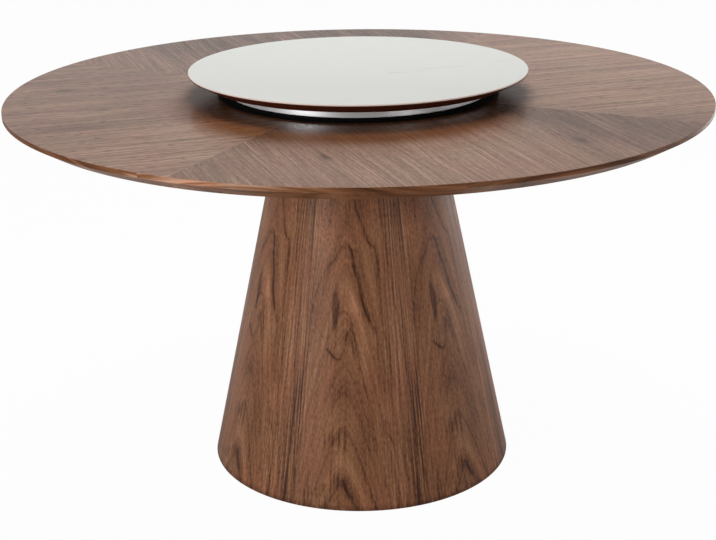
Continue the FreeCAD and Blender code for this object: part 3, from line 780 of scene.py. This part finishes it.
driveScrews()
print("screws made")

board = {
    "ply": 0.0015,  # thickness of one ply
    "shellSlope": 0.2157,  # how the bent shell narrows upwards, and its middle radius
    "shellRadius": 0.25,
    "plyRoughness": 0.62,
    "fibreRoughness": 0.7,
    "gloss": 1.4,
    "face": shade(206, 172, 128),
    "late": shade(184, 146, 103),
    "crossPly": shade(160, 122, 84),
    "fibre": shade(164, 131, 95),
    "fibreDark": shade(132, 101, 71),
}


def plywood(name, bent):  # plies stack upwards in a board, and inwards in the bent shell
    finish = Finish(name)
    x, y, z = finish.place()
    radius = (x * x + y * y).maths("SQRT")
    depth = radius + z * board["shellSlope"] if bent else z
    along = z if bent else x
    across = y.maths("ARCTAN2", x) * board["shellRadius"] if bent else y
    layer = (depth / board["ply"]).maths("FLOOR")
    cross = (layer / 2).maths("FRACT") * 2  # every second ply runs the other way
    wave = finish.noise(along * 3, across * 8, detail=2) - 0.5
    bands = finish.lines((across + wave * 0.03) * 60, detail=3)
    fibres = finish.noise(across * 700, along * 20, layer, detail=3)
    colour = finish.blend(bands * 0.7 + (fibres - 0.5) * 0.5, board["face"], board["late"])
    colour = finish.blend(cross * 0.3, colour, board["crossPly"])
    roughness = board["plyRoughness"] + (fibres - 0.5) * 0.2
    normal = finish.bump(fibres, 0.0002)
    return finish.surface(Base_Color=colour, Roughness=roughness, Normal=normal, IOR=board["gloss"])


dress(plywood("plywoodShell", True), "cone_shell")
dress(plywood("plywoodBoard", False), "neck_board", "mid_former", "lower_former", "bottom_board")


def fibreboard():
    finish = Finish("fibreboard")
    x, y, z = finish.place()
    fluff = finish.noise(x * 420, y * 420, z * 900, detail=4, rough=0.65)
    patches = finish.noise(x * 14, y * 14, z * 60, detail=3)
    colour = finish.blend(fluff * 0.9 + (patches - 0.5) * 0.4, board["fibre"], board["fibreDark"])
    roughness = board["fibreRoughness"] + (fluff - 0.5) * 0.2
    normal = finish.bump(fluff, 0.00015)
    return finish.surface(Base_Color=colour, Roughness=roughness, Normal=normal, IOR=board["gloss"])


dress(fibreboard(), "tabletop_core", "turntable_board")
print("boards finished")

camera = {
    "lens": 72.72,
    "sensor": 36,
    "reach": 200,  # nothing beyond this is drawn
    "place": (0, -2.77313, 1.36712),
    "down": math.radians(19.4318),
    "swing": math.radians(-0.0866),
    "tilt": math.radians(-0.60108),
}


def photoCamera():
    data = bpy.data.cameras.new("photoCamera")
    data.lens = camera["lens"]
    data.sensor_width = camera["sensor"]
    data.clip_end = camera["reach"]
    item = bpy.data.objects.new("photoCamera", data)
    bpy.context.scene.collection.objects.link(item)
    level, swing = math.cos(camera["down"]), camera["swing"]
    ahead = Vector((math.sin(swing) * level, math.cos(swing) * level, -math.sin(camera["down"])))
    right = Vector((math.cos(swing), -math.sin(swing), 0))
    right = Matrix.Rotation(-camera["tilt"], 3, ahead) @ right
    up = right.cross(ahead)
    turned = Matrix((right, up, -ahead)).transposed().to_4x4()
    item.matrix_world = Matrix.Translation(camera["place"]) @ turned
    bpy.context.scene.camera = item


studio = {
    "floor": 60,
    "floorColour": shade(210, 210, 210),
    "floorGlow": (0.975, 0.36, 0.975),  # how white it looks directly, in gloss and through glass
    "world": (0.3, 0.42, 1.1),  # its strength as light, and in gloss towards the front and the back
    "aim": (0, 0, 0.6),  # all lamps point here
    # name, place, size and watts
    "lamps": (
        ("topLamp", (0, 0.9, 3.3), 1.8, 58),
        ("leftLamp", (-2.3, -2.3, 1.0), 1.5, 63),
        ("frontLamp", (1.9, -2.4, 0.8), 0.8, 13),
        ("rightLamp", (2.8, 0.1, 0.5), 1.4, 17),
        ("rimLamp", (2.2, 1.7, 0.45), 1.2, 13),
    ),
}


def seen(finish, kind):  # 1 for one kind of ray, 0 for the rest
    return finish.add("ShaderNodeLightPath", {}, {}, out=f"Is {kind} Ray")


def whiteFloor():
    size = studio["floor"]
    mesh = bpy.data.meshes.new("floor")
    corners = [(-size, -size, 0), (size, -size, 0), (size, size, 0), (-size, size, 0)]
    mesh.from_pydata(corners, [], [(0, 1, 2, 3)])
    floor = bpy.data.objects.new("floor", mesh)
    bpy.context.scene.collection.objects.link(floor)
    finish = Finish("paleFloor")
    direct, gloss, glass = studio["floorGlow"]
    share = seen(finish, "Camera") * direct + seen(finish, "Glossy") * gloss
    share = share + seen(finish, "Transmission") * glass
    matt = finish.add("ShaderNodeBsdfDiffuse", {}, {"Color": studio["floorColour"]})
    glow = finish.add("ShaderNodeEmission", {}, {"Color": (1, 1, 1, 1), "Strength": 1})
    mixed = finish.add("ShaderNodeMixShader", {}, {0: share, 1: matt, 2: glow})
    finish.add("ShaderNodeOutputMaterial", {}, {"Surface": mixed})
    mesh.materials.append(finish.material)


def whiteSky():
    world = bpy.data.worlds.new("studio")
    bpy.context.scene.world = world
    world.use_nodes = True
    sky = Finish("sky", world.node_tree)
    light, front, back = studio["world"]
    towards = sky.place("Generated")[1]
    gloss = front + sky.soft(towards, -0.5, 0.5) * (back - front)
    plain = seen(sky, "Camera").maths("MAXIMUM", seen(sky, "Transmission"))
    strength = light + plain * (1 - light) + seen(sky, "Glossy") * (gloss - light)
    glow = sky.add("ShaderNodeBackground", {}, {"Color": (1, 1, 1, 1), "Strength": strength})
    sky.add("ShaderNodeOutputWorld", {}, {"Surface": glow})


def softLamps():
    for name, place, width, power in studio["lamps"]:
        lamp = bpy.data.lights.new(name, "AREA")
        lamp.size = width
        lamp.energy = power
        item = bpy.data.objects.new(name, lamp)
        item.location = place
        item.visible_camera = False
        aim = Vector(studio["aim"]) - item.location
        item.rotation_euler = aim.to_track_quat("-Z", "Y").to_euler()
        bpy.context.scene.collection.objects.link(item)


photoCamera()
whiteFloor()
whiteSky()
softLamps()
bpy.context.scene.view_settings.view_transform = "Standard"
print("studio and camera set")
